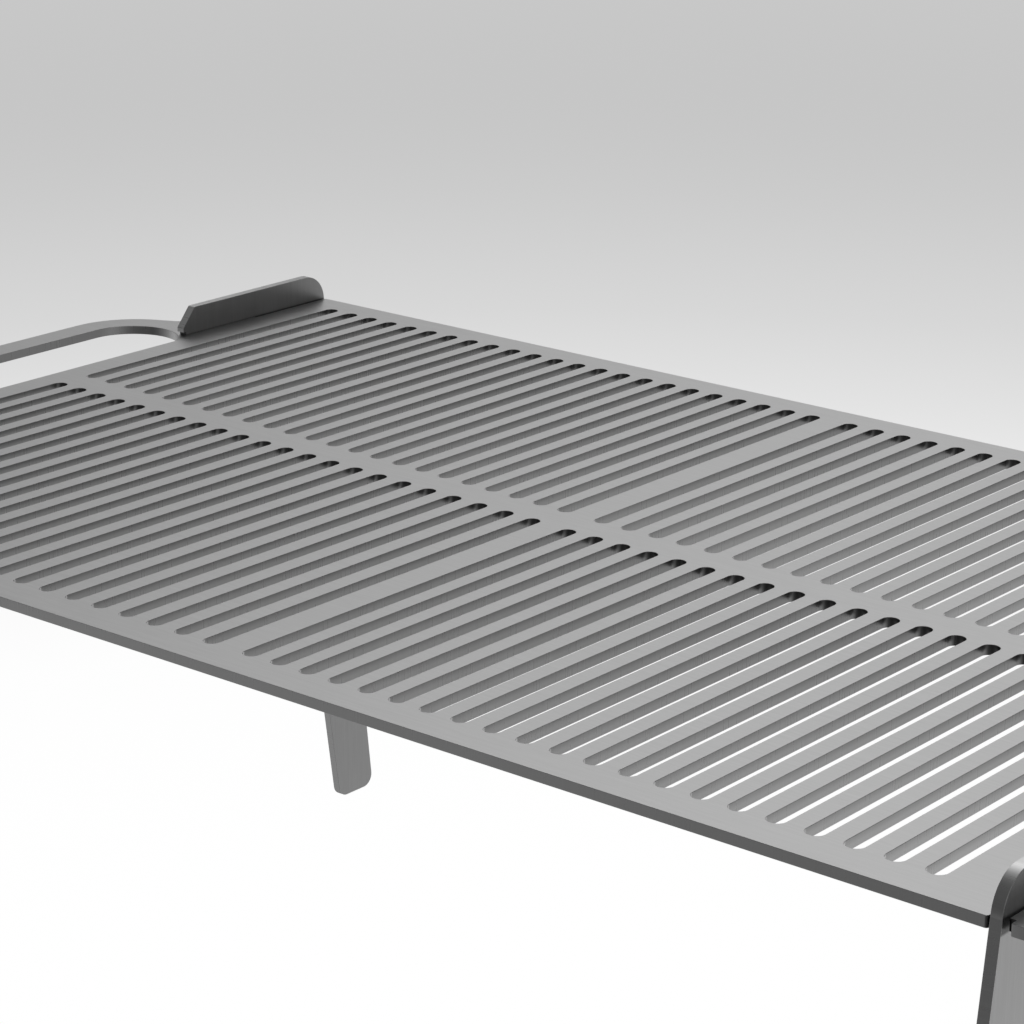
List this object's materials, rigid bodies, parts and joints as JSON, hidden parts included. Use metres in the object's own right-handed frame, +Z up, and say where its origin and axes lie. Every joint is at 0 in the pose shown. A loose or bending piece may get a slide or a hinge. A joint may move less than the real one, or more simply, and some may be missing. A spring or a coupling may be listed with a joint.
{
  "type": "portable charcoal grill",
  "caption": "Flat slotted steel grill plate with a D-shaped handle at each end, standing over the coals on flat tapered plate legs that plug into its corners and pull out for packing.",
  "frame": {"origin": "on the floor, under the middle of the grate", "axes": "+Z up, +X along the grate towards its right-hand handle, -Y towards the front edge"},
  "size_m": [0.5424, 0.35, 0.2115],
  "materials": {
    "grate_steel": "fine matt ground stainless sheet",
    "leg_steel": "fine matt ground stainless sheet"
  },
  "bodies": {
    "grate": {"grate_plate": "grate_steel"},
    "front_left_leg": {"leg_front_left": "leg_steel"},
    "front_right_leg": {"leg_front_right": "leg_steel"},
    "rear_left_leg": {"leg_rear_left": "leg_steel"},
    "rear_right_leg": {"leg_rear_right": "leg_steel"}
  },
  "joints": [
    {"name": "front_left_leg_pull", "type": "slide", "parent": "grate", "child": "front_left_leg", "axis": [0, -1, 0], "range_m": [0, 0.08]},
    {"name": "front_right_leg_pull", "type": "slide", "parent": "grate", "child": "front_right_leg", "axis": [0, -1, 0], "range_m": [0, 0.08]},
    {"name": "rear_left_leg_pull", "type": "slide", "parent": "grate", "child": "rear_left_leg", "axis": [0, 1, 0], "range_m": [0, 0.08]},
    {"name": "rear_right_leg_pull", "type": "slide", "parent": "grate", "child": "rear_right_leg", "axis": [0, 1, 0], "range_m": [0, 0.08]}
  ]
}
